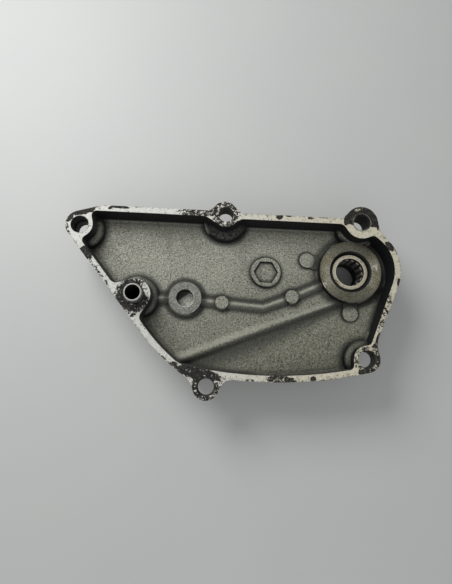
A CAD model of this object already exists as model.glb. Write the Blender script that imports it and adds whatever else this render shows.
import math

import bpy
from mathutils import Matrix, Vector


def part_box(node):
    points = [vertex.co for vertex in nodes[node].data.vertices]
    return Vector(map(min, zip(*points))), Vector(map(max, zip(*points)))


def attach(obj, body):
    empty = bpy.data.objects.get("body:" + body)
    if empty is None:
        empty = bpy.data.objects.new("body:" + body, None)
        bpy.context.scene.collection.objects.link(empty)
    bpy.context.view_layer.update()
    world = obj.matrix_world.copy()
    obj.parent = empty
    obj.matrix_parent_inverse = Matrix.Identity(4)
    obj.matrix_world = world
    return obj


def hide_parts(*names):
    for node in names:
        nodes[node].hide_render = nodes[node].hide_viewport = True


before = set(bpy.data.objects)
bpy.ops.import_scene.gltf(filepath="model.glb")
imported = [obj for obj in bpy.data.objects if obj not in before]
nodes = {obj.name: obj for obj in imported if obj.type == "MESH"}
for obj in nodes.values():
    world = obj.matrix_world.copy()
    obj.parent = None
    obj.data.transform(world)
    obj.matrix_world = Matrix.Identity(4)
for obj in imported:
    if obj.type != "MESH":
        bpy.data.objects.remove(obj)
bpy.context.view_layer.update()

# Places in the part's own frame, in millimetres
SHAFT = (125.0, -14.4)
BLIND = (48.65, -30.25)
HEX_PAD = (85.6, -16.0)
LEFT_BOSS = (26.9, -30.7)
TOP_LEFT, TOP_MIDDLE, TOP_RIGHT = (0.0, 0.0), (65.7, 8.0), (128.2, 7.3)
LOWER_RIGHT, BOTTOM_EAR = (129.9, -54.9), (60.1, -69.4)
POCKET_MIDDLE = (80.0, -26.0)
RIB = [LEFT_BOSS, BLIND, (66.0, -31.4), (84.7, -32.6), (97.4, -27.5), SHAFT]
PADS = [((65.6, -31.4), 3.0), ((97.9, -27.3), 3.1), ((105.0, -9.3), 3.5), ((125.2, -34.0), 3.6)]
LOWEST = -26.3


def tone(r, g, b):
    """A screen colour, 0 to 255, as the linear numbers that a material takes."""
    def linear(v):
        v /= 255
        return v / 12.92 if v <= 0.04045 else ((v + 0.055) / 1.055) ** 2.4
    return (linear(r), linear(g), linear(b), 1.0)


class Wire:
    """A number inside a material that sums can be written on."""

    def __init__(self, finish, socket):
        self.finish, self.socket = finish, socket

    def __add__(self, other):
        return self.finish.sum("ADD", self, other)

    __radd__ = __add__

    def __sub__(self, other):
        return self.finish.sum("SUBTRACT", self, other)

    def __rsub__(self, other):
        return self.finish.sum("SUBTRACT", other, self)

    def __mul__(self, other):
        return self.finish.sum("MULTIPLY", self, other)

    __rmul__ = __mul__

    def __truediv__(self, other):
        return self.finish.sum("DIVIDE", self, other)

    def __neg__(self):
        return self.finish.sum("MULTIPLY", self, -1.0)

    def __pow__(self, other):
        return self.finish.sum("POWER", self, other)

    def __abs__(self):
        return self.finish.sum("ABSOLUTE", self)

    def most(self, other):
        return self.finish.sum("MAXIMUM", self, other)

    def least(self, other):
        return self.finish.sum("MINIMUM", self, other)

    def step(self, low, high):
        """0 below low and 1 above high, smooth between them; low may be the greater."""
        return self.finish.node("ShaderNodeMapRange", {"interpolation_type": "SMOOTHSTEP"},
                                {0: self, 1: low, 2: high, 3: 0.0, 4: 1.0})


class Finish:
    """One material, and the ways to build it."""

    def __init__(self, name):
        self.material = bpy.data.materials.new(name)
        self.material.use_nodes = True
        self.tree = self.material.node_tree
        self.tree.nodes.clear()

    def node(self, kind, settings=None, sockets=None, out=0):
        made = self.tree.nodes.new(kind)
        for key, value in (settings or {}).items():
            if key == "stops":
                ramp = made.color_ramp.elements
                for i, (at, colour) in enumerate(value):
                    stop = ramp[i] if i < 2 else ramp.new(at)
                    stop.position, stop.color = at, colour
            else:
                setattr(made, key, value)
        for key, value in (sockets or {}).items():
            if isinstance(value, Wire):
                self.tree.links.new(value.socket, made.inputs[key])
            else:
                made.inputs[key].default_value = value
        return Wire(self, made.outputs[out])

    def sum(self, operation, *terms):
        return self.node("ShaderNodeMath", {"operation": operation}, dict(enumerate(terms)))

    def mix(self, share, a, b):
        """Colour a where share is 0 and b where it is 1."""
        return self.node("ShaderNodeMix", {"data_type": "RGBA", "clamp_factor": True},
                         {0: share, 6: a, 7: b}, out=2)

    def tint(self, colour, factor):
        """The colour made darker or lighter by a number."""
        grey = self.node("ShaderNodeCombineXYZ", {}, {0: factor, 1: factor, 2: factor})
        return self.node("ShaderNodeMix", {"data_type": "RGBA", "blend_type": "MULTIPLY"},
                         {0: 1.0, 6: colour, 7: grey}, out=2)

    def split(self, vector):
        node = self.node("ShaderNodeSeparateXYZ", {}, {0: vector}).socket.node
        return [Wire(self, node.outputs[i]) for i in range(3)]

    def place(self):
        """Where the surface is in the part's frame, in millimetres."""
        at = self.node("ShaderNodeTexCoord", out="Object")
        return self.node("ShaderNodeVectorMath", {"operation": "SCALE"}, {0: at, 3: 1000.0})

    def facing(self):
        return self.split(self.node("ShaderNodeTexCoord", out="Normal"))

    def noise(self, at, size, detail=2.0, rough=0.5, stretch=(1.0, 1.0, 1.0)):
        """Cloudy noise whose blots are about size millimetres."""
        if stretch != (1.0, 1.0, 1.0):
            at = self.node("ShaderNodeVectorMath", {"operation": "MULTIPLY"}, {0: at, 1: stretch})
        return self.node("ShaderNodeTexNoise", {"noise_dimensions": "3D"},
                         {"Vector": at, "Scale": 1.0 / size, "Detail": detail, "Roughness": rough})

    def crevice(self, reach):
        """1 deep in a corner, 0 in the open; reach is in millimetres."""
        node = self.node("ShaderNodeAmbientOcclusion", {"samples": 6, "only_local": True},
                         {"Distance": reach / 1000}, out="AO")
        return 1.0 - node

    def rounded(self, radius):
        return self.node("ShaderNodeBevel", {"samples": 4}, {"Radius": radius / 1000})

    def bump(self, height, strength, depth, under=None):
        sockets = {"Height": height, "Strength": strength, "Distance": depth / 1000}
        if under is not None:
            sockets["Normal"] = under
        return self.node("ShaderNodeBump", {}, sockets)

    def surface(self, colour, roughness, metallic, normal=None, **fixed):
        sockets = {"Base Color": colour, "Roughness": roughness, "Metallic": metallic}
        if normal is not None:
            sockets["Normal"] = normal
        sockets.update(fixed)
        shader = self.node("ShaderNodeBsdfPrincipled", {}, sockets)
        self.node_out(shader)
        return self.material

    def node_out(self, shader):
        out = self.tree.nodes.new("ShaderNodeOutputMaterial")
        self.tree.links.new(shader.socket, out.inputs["Surface"])


def away(x, y, centre):
    """Distance in plan from a centre."""
    dx, dy = x - centre[0], y - centre[1]
    return (dx * dx + dy * dy) ** 0.5


def beside(x, y, start, end):
    """Distance in plan from the line between two places."""
    dx, dy = end[0] - start[0], end[1] - start[1]
    share = ((x - start[0]) * dx + (y - start[1]) * dy) / (dx * dx + dy * dy)
    share = share.most(0.0).least(1.0)
    off_x, off_y = x - start[0] - share * dx, y - start[1] - share * dy
    return (off_x * off_x + off_y * off_y) ** 0.5


def patch(x, y, px, py, along, across, turn):
    """1 in the middle of a turned oval patch, 0 outside it."""
    c, s = math.cos(math.radians(turn)), math.sin(math.radians(turn))
    u = ((x - px) * c + (y - py) * s) / along
    v = ((y - py) * c - (x - px) * s) / across
    return (u * u + v * v).step(1.35, 0.55)


# Gasket residue and grime on the joint face: place, half length, half width, turn, cover
RESIDUE = [
    (0.8, 6.4, 6.0, 1.9, 14, 1.0),
    (-4.6, 3.0, 2.6, 1.4, 58, 0.75),
    (-5.3, -2.5, 3.0, 1.0, 100, 0.45),
    (4.4, -12.8, 3.3, 3.2, -50, 1.05),
    (17.3, 9.0, 4.3, 0.8, -2, 1.0),
    (13.0, 8.4, 1.0, 0.8, 30, 0.8),
    (52.8, 8.4, 8.8, 2.3, 0, 0.62),
    (59.6, 9.4, 2.6, 3.2, 20, 0.72),
    (70.0, 11.0, 2.0, 1.2, -45, 0.6),
    (65.6, 3.3, 3.4, 1.0, 0, 0.5),
    (90.2, 8.1, 1.6, 1.4, 10, 0.9),
    (94.5, 8.8, 1.5, 0.6, 0, 0.75),
    (104.6, 8.2, 1.5, 0.7, 0, 0.8),
    (112.0, 8.6, 2.2, 0.6, 0, 0.55),
    (129.8, 9.2, 5.0, 4.2, 30, 1.5),
    (140.9, -3.4, 2.8, 1.4, -52, 0.95),
    (144.0, -5.2, 1.6, 0.8, -60, 0.8),
    (144.6, -20.0, 2.2, 0.8, 82, 0.9),
    (138.0, -34.0, 9.0, 2.2, 70, 0.42),
    (135.4, -45.4, 3.0, 1.5, 66, 0.85),
    (133.6, -48.8, 1.6, 1.2, 40, 0.7),
    (129.9, -54.9, 6.6, 6.6, 0, 0.47),
    (134.6, -54.2, 1.6, 4.0, 0, 0.8),
    (129.6, -60.0, 4.5, 1.4, 10, 0.8),
    (92.3, -65.2, 6.8, 1.9, 0, 0.72),
    (106.1, -64.2, 1.3, 1.2, 0, 0.85),
    (110.5, -64.9, 1.2, 0.8, 0, 0.7),
    (78.8, -66.2, 2.0, 0.8, 0, 0.5),
    (56.6, -63.8, 10.8, 2.9, -12, 0.86),
    (60.1, -69.8, 6.6, 6.6, 0, 0.66),
    (46.6, -60.6, 2.6, 1.2, -32, 0.75),
    (26.0, -31.2, 7.8, 7.8, 0, 0.86),
    (65.7, 8.0, 6.6, 6.6, 0, 0.6),
    (21.0, -34.6, 4.0, 2.2, -50, 0.62),
    (25.6, -38.2, 3.6, 1.8, -50, 0.5),
    (42.5, -59.3, 5.0, 0.9, -42, 0.5),
    (10.5, -21.6, 9.0, 0.7, -50, 0.42),
]


def cast_aluminium():
    f = Finish("cast_aluminium_worn")
    at = f.place()
    x, y, z = f.split(at)
    nx, ny, up = f.facing()
    flat = up.step(0.75, 0.92)
    grain = f.noise(at, 0.62, 2.0, 0.75)
    coarse = f.noise(at, 1.3, 3.0, 0.55)
    cloud = f.noise(at, 14.0, 3.0, 0.5)

    # The sand-coloured grey of the castings's skin, a little darker to the lower right
    right_low = ((x * 0.45 - y * 1.3) / 150.0).step(0.1, 0.95)
    skin = f.mix(right_low, tone(148, 148, 136), tone(108, 108, 94))
    speck = (grain - 0.5) * 3.9 + (coarse - 0.5) * 1.2 + (cloud - 0.5) * 0.5 + 1.0
    skin = f.tint(skin, speck)

    # Oil swirls and a few pits on the upper floor
    warp = f.node("ShaderNodeTexNoise", {}, {"Vector": at, "Scale": 0.12, "Detail": 2.0}, out=1)
    bent = f.node("ShaderNodeVectorMath", {"operation": "MULTIPLY_ADD"},
                  {0: warp, 1: (14.0, 14.0, 0.0), 2: at})
    swirl = f.node("ShaderNodeTexWave", {"wave_type": "RINGS", "rings_direction": "SPHERICAL"},
                   {"Vector": bent, "Scale": 0.05, "Distortion": 3.0, "Detail": 1.0})
    oily = patch(x, y, 42.0, -4.0, 11.0, 5.5, -12) * swirl.step(0.5, 0.8) * flat
    skin = f.mix(oily * coarse.step(0.35, 0.6) * 0.4, skin, tone(100, 98, 78))
    pits = patch(x, y, 17.6, -4.9, 2.4, 1.2, 10) * coarse.step(0.5, 0.62) * flat
    skin = f.mix(pits * 0.8, skin, tone(52, 50, 44))
    smudge = patch(x, y, 119.0, -31.2, 3.4, 1.3, -25) * f.noise(at, 0.9).step(0.48, 0.6) * flat
    skin = f.mix(smudge * 0.5, skin, tone(80, 78, 68))

    # Where the floor drops: a light crest, then a dark soft band
    run = (x - 81.3) * 0.9245 + (y + 45.1) * 0.3811
    over = ((y + 45.1) * 0.9245 - (x - 81.3) * 0.3811) / (1.0 - run.step(-5.0, 42.0) * 0.45)
    on_floor = up.step(0.5, 0.8) * z.step(-7.6, -8.1)
    crest = over.step(0.7, 1.6) * over.step(4.4, 2.4) * on_floor
    drop = over.step(1.4, -0.3) * over.step(-12.0, -3.4) * on_floor
    skin = f.mix(crest * 0.4, skin, tone(172, 172, 158))
    skin = f.mix(drop * 0.8, skin, tone(40, 42, 38))

    # Pads that the ejector pins left, a little paler, with dirt around them and along the rib
    pads, dirt = None, None
    for centre, size in PADS:
        off = away(x, y, centre)
        inside = off.step(size + 0.1, size - 0.3)
        edge = off.step(size - 0.1, size + 0.3) * off.step(size + 1.7, size + 0.5)
        pads = inside if pads is None else pads.most(inside)
        dirt = edge if dirt is None else dirt.most(edge)
    rib_off = None
    for start, end in zip(RIB, RIB[1:]):
        off = beside(x, y, start, end)
        rib_off = off if rib_off is None else rib_off.least(off)
    on_rib = up.step(0.2, 0.45) * z.step(-7.6, -8.1)
    rib_top = rib_off.step(0.95, 0.3) * on_rib * (1.0 - pads)
    foot = rib_off.step(0.8, 1.8) * rib_off.step(4.6, 2.7) * (1.0 - pads)
    dirt = (dirt * 0.62).most(foot * 0.72) * on_rib
    skin = f.mix(rib_top * 0.45, skin, tone(176, 176, 162))
    skin = f.mix(dirt, skin, tone(34, 35, 32))
    skin = f.mix(pads * flat * 0.4, skin, f.tint(tone(150, 150, 138), (grain - 0.5) * 3.0 + 1.0))
    hex_r = away(x, y, HEX_PAD)
    hex_in = hex_r.step(5.2, 4.6) * flat
    mottled = f.noise(at, 1.1, 3.0, 0.7)
    skin = f.mix(hex_in * mottled.step(0.5, 0.66) * 0.75, skin, tone(84, 82, 72))

    # Dark outlines at the feet of the rib, the round bosses and the hexagon pad
    blind_r = away(x, y, BLIND)
    moat = blind_r.step(7.7, 8.2) * blind_r.step(11.2, 9.0) * z.step(-7.9, -8.3)
    about = away(x, y, SHAFT)
    moat = moat.most(about.step(14.8, 15.1) * about.step(19.5, 16.2) * z.step(-6.9, -7.3) * 0.85)
    moat = moat.most(hex_r.step(6.8, 7.1) * hex_r.step(8.4, 7.3) * 0.7)
    skin = f.mix(moat.least(1.0) * up.step(0.0, 0.3) * 0.78, skin, tone(34, 35, 32))
    hx, hy = x - HEX_PAD[0], y - HEX_PAD[1]
    across = abs(hy).most(abs(hx * 0.866 + hy * 0.5)).most(abs(hx * 0.866 - hy * 0.5))
    hexagon = across.step(4.2, 4.75) * across.step(5.15, 4.95) * z.step(-7.6, -8.1)
    skin = f.mix(hexagon * 0.75, skin, tone(34, 34, 31))

    # Grime in every corner, and on the pocket's walls
    crevice = f.crevice(3.0)
    inward = ((POCKET_MIDDLE[0] - x) * nx + (POCKET_MIDDLE[1] - y) * ny).step(-4.0, 4.0)
    # Past the middle line of the rim, so that the flanks of the ears count as outside
    beyond = ((y - 8.1) + x * 0.0047).most((10.5 - x) * 0.766 - (y + 21.6) * 0.643 + 1.0)
    beyond = beyond.most((x - 84.3) * (x - 84.3) / 379.0 - 64.6 - y)
    beyond = beyond.most((x - 137.0) * 0.94 - (y + 40.0) * 0.34 + 0.5)
    beyond = beyond.most((about - 19.4).least(x - 128.0).least(y + 20.0))
    inward = inward * beyond.step(0.3, -0.3)
    inside = inward * z.step(-13.0, -11.5) * z.step(0.3, -0.2)
    upright = up.step(0.86, 0.35)
    from_top = ny.step(0.35, -0.75).most(nx.step(-0.2, -0.8))
    wall_tone = f.mix(from_top, tone(62, 62, 58), tone(5, 7, 9))
    grime = (crevice.step(0.05, 0.28) * (0.95 + (coarse - 0.5) * 0.8)).least(1.0)
    roots = (away(x, y, TOP_MIDDLE).step(13.5, 10.0) * 1.1).most(
        away(x, y, LEFT_BOSS).step(13.0, 9.0) * 0.6).most(
        away(x, y, LOWER_RIGHT).step(13.0, 9.0) * 0.4).most(away(x, y, TOP_LEFT).step(13.0, 9.5) * 0.4)
    roots = roots * z.step(-0.3, -1.2) * (0.8 + (coarse - 0.5) * 0.9)
    inner_skin = f.mix(grime * z.step(0.0, -6.0), skin, tone(34, 34, 31))
    inner_skin = f.mix(roots.least(1.0) * up.step(0.2, 0.5), inner_skin, tone(18, 21, 20))
    inner_skin = f.mix(upright * inside, inner_skin, wall_tone)
    outer_grime = f.noise(at, 9.0, 4.0, 0.6).step(0.5, 0.72) * 0.4
    outer = f.mix((crevice.step(0.12, 0.5) * 0.6 + outer_grime).least(1.0),
                  f.tint(tone(150, 150, 141), speck * 0.4 + 0.6), tone(62, 60, 53))
    below = z.step(-12.8, -13.3).most(1.0 - inward * z.step(-14.0, -13.0))
    skin = f.mix((below * upright).most(up.step(-0.2, -0.5)), inner_skin, outer)

    # Dark oiled bores of the screw and dowel holes
    bores = (away(x, y, TOP_LEFT).step(4.15, 4.06) + away(x, y, TOP_MIDDLE).step(3.7, 3.58)
             + away(x, y, TOP_RIGHT).step(3.7, 3.58) + away(x, y, LOWER_RIGHT).step(4.15, 4.06)
             + away(x, y, BOTTOM_EAR).step(4.15, 4.06) + away(x, y, LEFT_BOSS).step(4.15, 4.06))
    bores = bores.least(1.0) * up.step(0.9, 0.6) * z.step(-0.02, -0.3)
    skin = f.mix(bores * 0.9, skin, f.tint(tone(30, 30, 28), coarse + 0.5))
    ear_r = away(x, y, TOP_RIGHT)
    chamfer = ear_r.step(5.6, 5.2) * z.step(-0.05, -0.2) * (x - 128.2 + y - 7.3).step(-2.5, 1.5)
    skin = f.mix(chamfer, skin, tone(12, 12, 13))
    blind_wall = away(x, y, BLIND).step(4.3, 4.15) * up.step(0.8, 0.4)
    skin = f.mix(blind_wall, skin, tone(30, 30, 28))

    # Turned faces: the ring about the shaft and the ring of the blind boss
    shaft_r = away(x, y, SHAFT)
    turned = f.noise(at, 0.7, 3.0, 0.7)
    rings = f.sum("SINE", shaft_r * 26.0) * 0.02
    ring_face = z.step(-7.12, -7.04) * z.step(-6.85, -6.95) * flat * shaft_r.step(15.2, 14.8)
    ring_tone = f.mix(f.noise(at, 6.0, 3.0, 0.6).step(0.42, 0.66), tone(146, 144, 128),
                      tone(122, 116, 94))
    ring_tone = f.tint(ring_tone, (turned - 0.5) * 3.6 + rings + 0.92)
    ends = (abs(y - SHAFT[1]) / shaft_r).step(0.35, 0.95)
    ring_tone = f.mix(shaft_r.step(12.8, 14.9) * 0.6, ring_tone, tone(62, 61, 52))
    ring_tone = f.mix(ends * 0.7, ring_tone, f.tint(tone(62, 62, 50), (turned - 0.5) * 3.6 + 1.0))
    scratch = (patch(x, y, 136.4, -11.2, 1.5, 0.42, 25) + patch(x, y, 137.1, -12.3, 0.4, 1.2, 10)
               + patch(x, y, 112.4, -21.4, 0.5, 1.6, 35) + patch(x, y, 113.4, -20.6, 0.9, 0.35, -20))
    scratch = scratch.least(1.0) * f.noise(at, 0.5).step(0.36, 0.55)
    ring_tone = f.mix(scratch * 0.85, ring_tone, tone(222, 216, 196))
    blind_face = z.step(-8.1, -8.05) * z.step(-7.9, -7.95) * flat * away(x, y, BLIND).step(8.0, 7.7)
    blind_tone = f.tint(tone(124, 125, 117), (turned - 0.5) * 3.4 + 1.0)
    blind_floor = away(x, y, BLIND).step(4.3, 4.1) * up.step(0.7, 0.9)
    inner_floor = f.tint(tone(196, 196, 184), (grain - 0.5) * 2.8 + 1.0)
    oil_edge = ((BLIND[0] - x) * 0.6 + (y - BLIND[1]) * 0.8).step(0.9, 2.1)
    inner_floor = f.mix(oil_edge * 0.92, inner_floor, tone(16, 16, 14))
    skin = f.mix(ring_face, skin, ring_tone)
    skin = f.mix(blind_face, skin, blind_tone)
    skin = f.mix(blind_floor, skin, inner_floor)
    lead_in = shaft_r.step(9.9, 9.7) * z.step(-9.5, -7.6)
    skin = f.mix(lead_in.most(shaft_r.step(9.95, 9.75) * z.step(-6.8, -6.95)), skin, tone(13, 13, 12))

    # Joint face: machined bright, stained by gasket residue
    face = z.step(-0.12, -0.05) * flat
    low_side = y.step(-50.0, -62.0)
    worn = f.noise(at, 2.4, 4.0, 0.6)
    cream = f.mix((x / 150.0).step(0.25, 0.8), tone(206, 206, 199), tone(206, 200, 180))
    cream = f.mix((x / 150.0).step(0.5, 0.0) * 0.35, cream, tone(178, 179, 174))
    brownish = worn.step(0.46, 0.72) * (0.3 + (x / 150.0).step(0.6, 0.95) * 0.35 + low_side * 0.35)
    cream = f.mix(brownish, cream, tone(146, 140, 120))
    cream = f.tint(cream, (grain - 0.5) * 0.9 + 1.0)
    cover = None
    for px, py, along, across, turn, share in RESIDUE:
        one = patch(x, y, px, py, along, across, turn) * share
        cover = one if cover is None else cover.most(one)
    big_ear = away(x, y, TOP_RIGHT).step(8.6, 8.1)
    ear_top = ((y - 6.0) + (x - 128.0) * 0.13 + (worn - 0.5) * 5.0).step(-1.1, 0.4)
    cover = cover.most(big_ear * ear_top * 1.05)
    bx, by, bz = f.split(f.rounded(1.3))
    outward = ((x - POCKET_MIDDLE[0]) * bx + (y - POCKET_MIDDLE[1]) * by).step(0.0, 1.0)
    outer_edge = bz.step(0.995, 0.8) * outward
    cover = cover.most(outer_edge * 0.36)
    blots = f.noise(at, 1.5, 4.0, 0.66)
    fine = f.noise(at, 0.4, 3.0, 0.65)
    film = (cover * 0.95 + 0.08 + (blots - 0.5) * 2.9 + (fine - 0.5) * 1.7).step(0.43, 0.54)
    film = film * f.noise(at, 0.8, 2.0).step(0.2, 0.34)
    glint = patch(x, y, 126.2, 13.3, 1.6, 0.6, 15) * fine.step(0.42, 0.55)
    glint = glint.most(patch(x, y, 32.0, -28.6, 1.5, 3.6, 26) * blots.step(0.42, 0.5))
    film = film * (1.0 - glint)
    stain = f.mix(f.noise(at, 1.6, 3.0).step(0.45, 0.68), tone(24, 24, 22), tone(58, 54, 46))
    cream = f.mix(film.step(0.0, 0.5) * 0.6, cream, tone(150, 141, 118))
    cream = f.mix(film.step(0.25, 0.9), cream, stain)
    colour = f.mix(face, skin, cream)

    machined = face.most(ring_face).most(blind_face * 0.6)
    bright = face * (1.0 - film)
    roughness = 0.64 + (grain - 0.5) * 0.25 - machined * 0.08 + face * film * 0.2
    metallic = (0.22 + bright * 0.1 - face * film * 0.2) * (1.0 - bores.most(upright * inside))
    skin_height = (grain * 0.6 + coarse * 0.6) * (1.0 - machined * 0.8) + face * film * 0.35
    normal = f.bump(skin_height, 0.55, 0.16, f.rounded(0.28))
    return f.surface(colour, roughness, metallic, normal, **{"Specular IOR Level": 0.3})


def turned_steel(name, bright, dull, soil, metallic=0.7, roughness=0.34):
    """Ground or drawn steel with a little oil and fine turning marks."""
    f = Finish(name)
    at = f.place()
    x, y, z = f.split(at)
    marks = f.noise(at, 0.5, 3.0, 0.6, (1.0, 1.0, 5.0))
    blots = f.noise(at, 1.6, 3.0, 0.6)
    colour = f.mix(marks.step(0.35, 0.7), bright, dull)
    colour = f.mix((blots.step(0.52, 0.72) * 0.5 + f.crevice(0.8).step(0.15, 0.5) * 0.6).least(1.0),
                   colour, soil)
    rough = roughness + blots.step(0.4, 0.7) * 0.22
    return f, at, x, y, z, colour, rough, metallic, f.bump(marks, 0.25, 0.03, f.rounded(0.12))


def dowel_steel():
    f, at, x, y, z, colour, rough, metallic, normal = turned_steel(
        "dowel_steel_oiled", tone(206, 205, 198), tone(150, 149, 142), tone(86, 82, 72))
    r = away(x, y, LEFT_BOSS)
    side = z.step(5.3, 4.7)
    colour = f.mix(side * 0.85, colour, tone(52, 50, 45))
    hollow = r.step(3.6, 3.5) * z.step(5.5, 5.2)
    colour = f.mix(hollow, colour, f.mix(z.step(-2.0, 4.0), tone(34, 35, 36), tone(14, 14, 13)))
    return f.surface(colour, rough + side * 0.3, (0.7 - hollow * 0.6).least(0.7 - side * 0.6), normal)


def bearing_steel():
    f, at, x, y, z, colour, rough, metallic, normal = turned_steel(
        "bearing_cup_steel", tone(196, 189, 168), tone(146, 137, 114), tone(92, 80, 58), 0.35)
    rust = patch(x, y, 119.0, -19.6, 1.6, 0.8, -50) * f.noise(at, 0.7).step(0.4, 0.6)
    colour = f.mix(rust, colour, tone(96, 74, 50))
    rim = away(x, y, SHAFT)
    colour = f.mix(rim.step(7.05, 6.85) * 0.6, colour, tone(226, 220, 204))
    colour = f.mix(rim.step(8.05, 8.3), colour, tone(14, 14, 12))
    inner = rim.step(6.72, 6.62).most(z.step(-8.6, -9.2))
    colour = f.mix(inner, colour, tone(44, 42, 38))
    return f.surface(colour, rough, metallic, normal)


def cage_steel():
    f, at, x, y, z, colour, rough, metallic, normal = turned_steel(
        "cage_steel_oiled", tone(66, 62, 54), tone(40, 38, 34), tone(22, 21, 19), 0.5, 0.4)
    return f.surface(colour, rough, metallic, normal)


def needle_steel():
    f, at, x, y, z, colour, rough, metallic, normal = turned_steel(
        "needle_steel_ground", tone(176, 174, 168), tone(120, 118, 112), tone(48, 45, 40), 0.85, 0.22)
    return f.surface(colour, rough, metallic, normal)


def seal_case_steel():
    f, at, x, y, z, colour, rough, metallic, normal = turned_steel(
        "seal_case_painted", tone(92, 92, 90), tone(70, 70, 68), tone(36, 35, 32), 0.3, 0.5)
    return f.surface(colour, rough, metallic, normal)


def seal_rubber():
    f = Finish("seal_rubber_black")
    at = f.place()
    dust = f.noise(at, 0.9, 4.0, 0.6)
    colour = f.mix(dust.step(0.45, 0.8) * 0.7, tone(26, 26, 27), tone(62, 58, 52))
    return f.surface(colour, 0.6 + dust * 0.2, 0.0, f.bump(dust, 0.3, 0.05))


def spring_steel():
    f = Finish("spring_wire")
    at = f.place()
    blots = f.noise(at, 0.8, 2.0)
    colour = f.mix(blots.step(0.4, 0.7), tone(170, 168, 162), tone(104, 98, 86))
    return f.surface(colour, 0.3 + blots * 0.2, 0.85)


def tube_mesh(name, points, radius, sides):
    """A closed wire along a closed ring of points."""
    verts, faces = [], []
    n = len(points)
    for i, p in enumerate(points):
        along = (points[(i + 1) % n] - points[i - 1]).normalized()
        side = along.cross(Vector((0, 0, 1))).normalized()
        rise = side.cross(along)
        for k in range(sides):
            a = 2 * math.pi * k / sides
            verts.append(p + radius * (math.cos(a) * side + math.sin(a) * rise))
    for i in range(n):
        j = (i + 1) % n
        for k in range(sides):
            m = (k + 1) % sides
            faces.append((i * sides + k, j * sides + k, j * sides + m, i * sides + m))
    mesh = bpy.data.meshes.new(name)
    mesh.from_pydata([tuple(v) for v in verts], [], faces)
    mesh.update()
    for face in mesh.polygons:
        face.use_smooth = True
    return mesh


def garter_coil():
    """The seal's spring as it really is: a fine coil bent into a ring."""
    low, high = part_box("garter_spring")
    centre = (low + high) / 2
    coil_r = (high.z - low.z) / 2
    ring_r = (high.x - low.x) / 2 - coil_r
    wire = 0.00013
    turns, each = 108, 12
    points = []
    for i in range(turns * each):
        a = 2 * math.pi * i / (turns * each)
        b = 2 * math.pi * i / each
        out = ring_r + (coil_r - wire) * math.cos(b)
        points.append(Vector((centre.x + out * math.cos(a), centre.y + out * math.sin(a),
                              centre.z + (coil_r - wire) * math.sin(b))))
    coil = bpy.data.objects.new("garter_coil", tube_mesh("garter_coil", points, wire, 6))
    bpy.context.scene.collection.objects.link(coil)
    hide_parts("garter_spring")
    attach(coil, "cover")
    return coil


def smooth(obj, angle):
    """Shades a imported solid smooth, with its edges kept sharp."""
    mesh = obj.data
    kept = mesh.attributes.get("custom_normal")
    if kept is not None:
        mesh.attributes.remove(kept)
    for face in mesh.polygons:
        face.use_smooth = True
    weld = obj.modifiers.new("joined_faces", "WELD")
    weld.merge_threshold = 0.000002
    split = obj.modifiers.new("sharp_edges", "EDGE_SPLIT")
    split.split_angle = math.radians(angle)
    split.use_edge_sharp = False


def dress(obj, material):
    obj.data.materials.clear()
    obj.data.materials.append(material)


def shooting_camera():
    """The photograph's own view: from above the lower edge, a hand's width up."""
    right = Vector((0.99864, 0.04059, 0.03259))
    up = Vector((-0.04560, 0.98411, 0.17162))
    look = Vector((0.02511, 0.17287, -0.98462))
    data = bpy.data.cameras.new("view")
    data.sensor_width = 36.0
    data.lens = 27.37
    data.clip_start = 0.01
    camera = bpy.data.objects.new("view", data)
    bpy.context.scene.collection.objects.link(camera)
    turn = Matrix((right, up, -look)).transposed().to_4x4()
    camera.matrix_world = Matrix.Translation((0.06215, -0.06192, 0.19343)) @ turn
    bpy.context.scene.camera = camera


def lamp(name, place, target, size, power):
    data = bpy.data.lights.new(name, "AREA")
    data.shape = "DISK"
    data.size = size
    data.energy = power
    obj = bpy.data.objects.new(name, data)
    obj.location = place
    obj.rotation_euler = (Vector(target) - Vector(place)).to_track_quat("-Z", "Y").to_euler()
    bpy.context.scene.collection.objects.link(obj)


def floor():
    mesh = bpy.data.meshes.new("table")
    s = 1.6
    mesh.from_pydata([(-s, -s, 0), (s, -s, 0), (s, s, 0), (-s, s, 0)], [], [(0, 1, 2, 3)])
    obj = bpy.data.objects.new("table", mesh)
    obj.location = (0.06, -0.03, LOWEST / 1000 - 0.00005)
    bpy.context.scene.collection.objects.link(obj)
    f = Finish("pale_table")
    at = f.place()
    soft = f.noise(at, 60.0, 2.0)
    colour = f.mix(soft, tone(196, 197, 196), tone(201, 202, 199))
    dress(obj, f.surface(colour, 0.55, 0.0))


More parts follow.
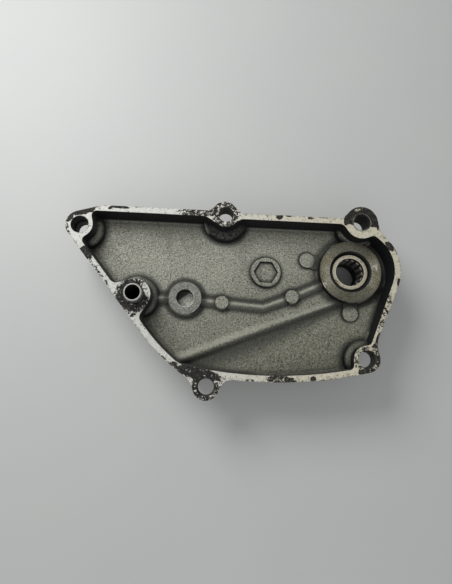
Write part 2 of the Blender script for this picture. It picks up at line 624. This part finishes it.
def surroundings():
    """Pale to the eye and in reflections, and a plain soft light for the rest."""
    world = bpy.data.worlds.new("studio")
    bpy.context.scene.world = world
    world.use_nodes = True
    tree = world.node_tree
    tree.nodes.clear()
    rays = tree.nodes.new("ShaderNodeLightPath")
    seen = tree.nodes.new("ShaderNodeMath")
    seen.operation = "MAXIMUM"
    both = tree.nodes.new("ShaderNodeMath")
    both.operation = "MAXIMUM"
    tree.links.new(rays.outputs["Is Camera Ray"], seen.inputs[0])
    tree.links.new(rays.outputs["Is Glossy Ray"], seen.inputs[1])
    tree.links.new(seen.outputs[0], both.inputs[0])
    tree.links.new(rays.outputs["Is Transmission Ray"], both.inputs[1])
    light = tree.nodes.new("ShaderNodeBackground")
    light.inputs["Color"].default_value = (0.96, 0.98, 1.0, 1.0)
    light.inputs["Strength"].default_value = 0.34
    pale = tree.nodes.new("ShaderNodeBackground")
    pale.inputs["Color"].default_value = (0.80, 0.81, 0.82, 1.0)
    pale.inputs["Strength"].default_value = 0.8
    mixed = tree.nodes.new("ShaderNodeMixShader")
    tree.links.new(both.outputs[0], mixed.inputs[0])
    tree.links.new(light.outputs[0], mixed.inputs[1])
    tree.links.new(pale.outputs[0], mixed.inputs[2])
    out = tree.nodes.new("ShaderNodeOutputWorld")
    tree.links.new(mixed.outputs[0], out.inputs["Surface"])


shooting_camera()
smooth(nodes["cover"], 24)
dress(nodes["cover"], cast_aluminium())
smooth(nodes["dowel_sleeve"], 24)
dress(nodes["dowel_sleeve"], dowel_steel())
smooth(nodes["bearing_cup"], 24)
dress(nodes["bearing_cup"], bearing_steel())
smooth(nodes["bearing_cage"], 30)
dress(nodes["bearing_cage"], cage_steel())
smooth(nodes["seal_case"], 30)
dress(nodes["seal_case"], seal_case_steel())
smooth(nodes["seal_rubber"], 30)
dress(nodes["seal_rubber"], seal_rubber())
ground = needle_steel()
for name, node in nodes.items():
    if name.startswith("needle_"):
        smooth(node, 30)
        dress(node, ground)
dress(garter_coil(), spring_steel())
floor()
surroundings()
lamp("window", (-0.16, 0.23, 0.30), (0.06, -0.02, 0.0), 0.26, 1.4)
lamp("fill", (0.10, -0.50, 0.55), (0.06, -0.02, 0.0), 0.60, 0.75)
bpy.context.scene.view_settings.view_transform = "Standard"
